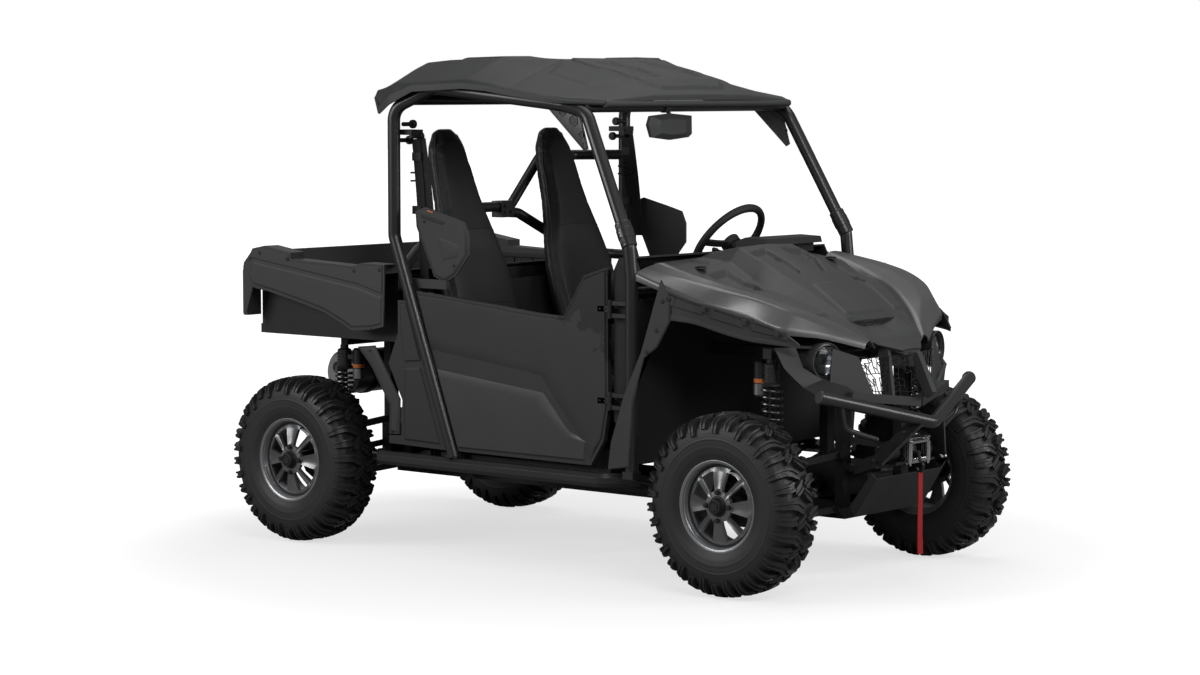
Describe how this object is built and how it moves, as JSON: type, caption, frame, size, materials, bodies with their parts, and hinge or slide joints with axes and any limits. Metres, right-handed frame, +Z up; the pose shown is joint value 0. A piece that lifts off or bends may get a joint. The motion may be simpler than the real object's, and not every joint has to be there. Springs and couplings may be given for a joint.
{
  "type": "side by side utility vehicle",
  "caption": "Two-seat side by side utility vehicle: tube cage with moulded roof, half doors, lugged tyres, front winch and bumper, and a tilting cargo bed with tailgate.",
  "frame": {"origin": "on the ground under the centre of the bounding box", "axes": "+X forward, +Y to the driver's left, +Z up"},
  "size_m": [3.1443, 1.578, 2.0628],
  "materials": {
    "black_steel": "satin black powder coat",
    "roof_plastic": "fine grained dark grey moulding",
    "dark_plastic": "grained black moulding",
    "trim_black": "black seat cover",
    "belt_black": "woven black webbing",
    "door_grey": "satin dark grey panel",
    "body_grey": "glossy graphite moulding",
    "lamp_clear": "clear lens over bright reflector",
    "strap_red": "woven red webbing",
    "spring_black": "satin black coil and body",
    "steel_dark": "machined steel",
    "engine_dark": "dull dark casting",
    "exhaust_grey": "dull heat-tinted sheet",
    "mirror_glass": "black mirror housing",
    "tyre_black": "matte tread compound",
    "rim_alloy": "gunmetal cast alloy with bright lip"
  },
  "bodies": {
    "vehicle_body": {"chassis_frame": "black_steel", "side_sills": "black_steel", "roll_cage": "black_steel", "roof": "roof_plastic", "floor_pan": "dark_plastic", "inner_liners": "dark_plastic", "dashboard": "dark_plastic", "seat_right": "trim_black", "seat_left": "trim_black", "shoulder_guards": "roof_plastic", "seat_belts": "belt_black", "quarter_panels": "door_grey", "front_fenders": "body_grey", "fender_flares": "dark_plastic", "hood": "roof_plastic", "front_fascia": "dark_plastic", "headlamps": "lamp_clear", "front_bumper": "black_steel", "winch": "black_steel", "hook_strap": "strap_red", "skid_plate": "black_steel", "suspension_arms": "black_steel", "shock_absorbers": "spring_black", "rear_knuckles": "steel_dark", "drive_shafts": "engine_dark", "engine_block": "engine_dark", "muffler": "exhaust_grey", "mirror": "mirror_glass"},
    "knuckle_right": {"front_knuckle_right": "steel_dark"},
    "knuckle_left": {"front_knuckle_left": "steel_dark"},
    "wheel_front_right": {"tyre_front_right": "tyre_black", "rim_front_right": "rim_alloy"},
    "wheel_front_left": {"tyre_front_left": "tyre_black", "rim_front_left": "rim_alloy"},
    "wheel_rear_right": {"tyre_rear_right": "tyre_black", "rim_rear_right": "rim_alloy"},
    "wheel_rear_left": {"tyre_rear_left": "tyre_black", "rim_rear_left": "rim_alloy"},
    "steering_wheel": {"steering_wheel": "dark_plastic"},
    "steering_rack": {"steering_rack": "steel_dark"},
    "cargo_bed": {"cargo_bed": "dark_plastic", "bed_side_panels": "door_grey"},
    "tailgate": {"tailgate": "dark_plastic"},
    "door_right": {"door_right": "door_grey"},
    "door_left": {"door_left": "door_grey"}
  },
  "joints": [
    {"name": "steer_left", "type": "hinge", "parent": "vehicle_body", "child": "knuckle_left", "pos_m": [1.0833, 0.54, 0.3556], "axis": [0, 0, 1], "range_deg": [-28, 28]},
    {"name": "steer_right", "type": "hinge", "parent": "vehicle_body", "child": "knuckle_right", "pos_m": [1.0833, -0.54, 0.3556], "axis": [0, 0, 1], "range_deg": [-28.5, 28.5]},
    {"name": "steering_wheel_turn", "type": "hinge", "parent": "vehicle_body", "child": "steering_wheel", "pos_m": [0.2753, 0.36, 1.296], "axis": [-0.788, 0, 0.6157], "range_deg": [-255, 255]},
    {"name": "rack_slide", "type": "slide", "parent": "vehicle_body", "child": "steering_rack", "axis": [0, 1, 0], "range_m": [-0.0525, 0.0525]},
    {"name": "spin_front_right", "type": "hinge", "parent": "knuckle_right", "child": "wheel_front_right", "pos_m": [1.0833, -0.677, 0.3556], "axis": [0, 1, 0], "continuous": true},
    {"name": "spin_front_left", "type": "hinge", "parent": "knuckle_left", "child": "wheel_front_left", "pos_m": [1.0833, 0.677, 0.3556], "axis": [0, 1, 0], "continuous": true},
    {"name": "spin_rear_right", "type": "hinge", "parent": "vehicle_body", "child": "wheel_rear_right", "pos_m": [-1.2167, -0.677, 0.3556], "axis": [0, 1, 0], "continuous": true},
    {"name": "spin_rear_left", "type": "hinge", "parent": "vehicle_body", "child": "wheel_rear_left", "pos_m": [-1.2167, 0.677, 0.3556], "axis": [0, 1, 0], "continuous": true},
    {"name": "door_right_hinge", "type": "hinge", "parent": "vehicle_body", "child": "door_right", "pos_m": [0.5393, -0.748, 0.9], "axis": [0, 0, 1], "range_deg": [0, 70]},
    {"name": "door_left_hinge", "type": "hinge", "parent": "vehicle_body", "child": "door_left", "pos_m": [0.5393, 0.748, 0.9], "axis": [0, 0, -1], "range_deg": [0, 70]},
    {"name": "bed_tilt", "type": "hinge", "parent": "vehicle_body", "child": "cargo_bed", "pos_m": [-1.4167, 0, 0.87], "axis": [0, -1, 0], "range_deg": [0, 45]},
    {"name": "tailgate_drop", "type": "hinge", "parent": "cargo_bed", "child": "tailgate", "pos_m": [-1.4917, 0, 0.908], "axis": [0, -1, 0], "range_deg": [0, 90]}
  ],
  "couplings": [
    {"joint": "steer_right", "follows": "steer_left", "ratio": 1},
    {"joint": "steering_wheel_turn", "follows": "steer_left", "ratio": 9},
    {"joint": "rack_slide", "follows": "steer_left", "m_per_rad": -0.1057}
  ]
}
